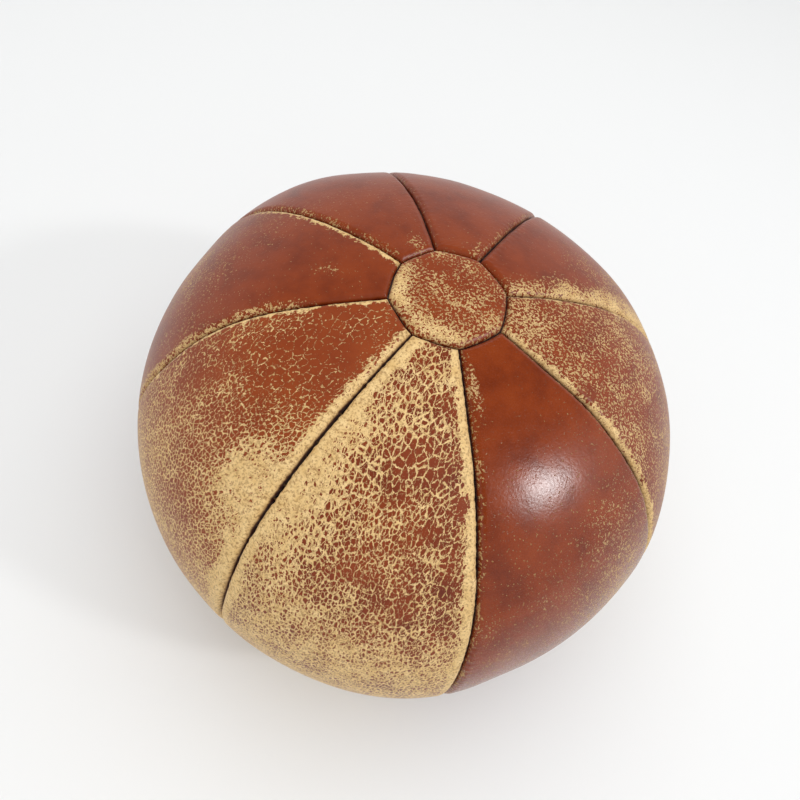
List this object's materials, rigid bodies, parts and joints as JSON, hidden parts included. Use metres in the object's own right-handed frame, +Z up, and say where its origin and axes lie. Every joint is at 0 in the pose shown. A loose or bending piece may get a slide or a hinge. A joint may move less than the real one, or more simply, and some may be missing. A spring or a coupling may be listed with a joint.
{
  "type": "medicine ball",
  "caption": "Heavy stuffed leather exercise ball, slightly flattened, with tapered side panels sewn to a small end cap at each pole and all seams turned inwards.",
  "frame": {"origin": "centre of the flat patch that the ball rests on, which is the middle of the bounding box's bottom", "axes": "+Z up along the axis the seams meet on, through both end caps; +X and +Y square to it, with the first seam about 26 degrees from +X towards +Y"},
  "size_m": [0.3, 0.3, 0.2278],
  "materials": {
    "cover_leather": "old vegetable-tanned hide, red-brown finish cracked and worn through to tan, waxed to a soft gloss",
    "lining_canvas": "plain undyed cotton canvas",
    "waxed_thread": "waxed linen thread, dull",
    "hand_lace": "narrow rolled leather lace, matte",
    "animal_hair": "packed curled hair, matte",
    "core_rags": "tightly bound rag and felt, matte"
  },
  "bodies": {
    "root": {"leather_gore_1": "cover_leather", "leather_gore_2": "cover_leather", "leather_gore_3": "cover_leather", "leather_gore_4": "cover_leather", "leather_gore_5": "cover_leather", "leather_gore_6": "cover_leather", "leather_gore_7": "cover_leather", "leather_gore_8": "cover_leather", "leather_cap_top": "cover_leather", "leather_cap_bottom": "cover_leather", "canvas_lining_1": "lining_canvas", "canvas_lining_2": "lining_canvas", "canvas_lining_3": "lining_canvas", "canvas_lining_4": "lining_canvas", "canvas_lining_5": "lining_canvas", "canvas_lining_6": "lining_canvas", "canvas_lining_7": "lining_canvas", "canvas_lining_8": "lining_canvas", "canvas_cap_lining_top": "lining_canvas", "canvas_cap_lining_bottom": "lining_canvas", "seam_thread_1": "waxed_thread", "seam_thread_2": "waxed_thread", "seam_thread_3": "waxed_thread", "seam_thread_4": "waxed_thread", "seam_thread_5": "waxed_thread", "seam_thread_6": "waxed_thread", "seam_thread_7": "waxed_thread", "seam_thread_8": "waxed_thread", "cap_thread_top": "waxed_thread", "cap_thread_bottom": "waxed_thread", "closing_lace": "hand_lace", "hair_filling": "animal_hair", "packed_core": "core_rags"}
  },
  "joints": []
}
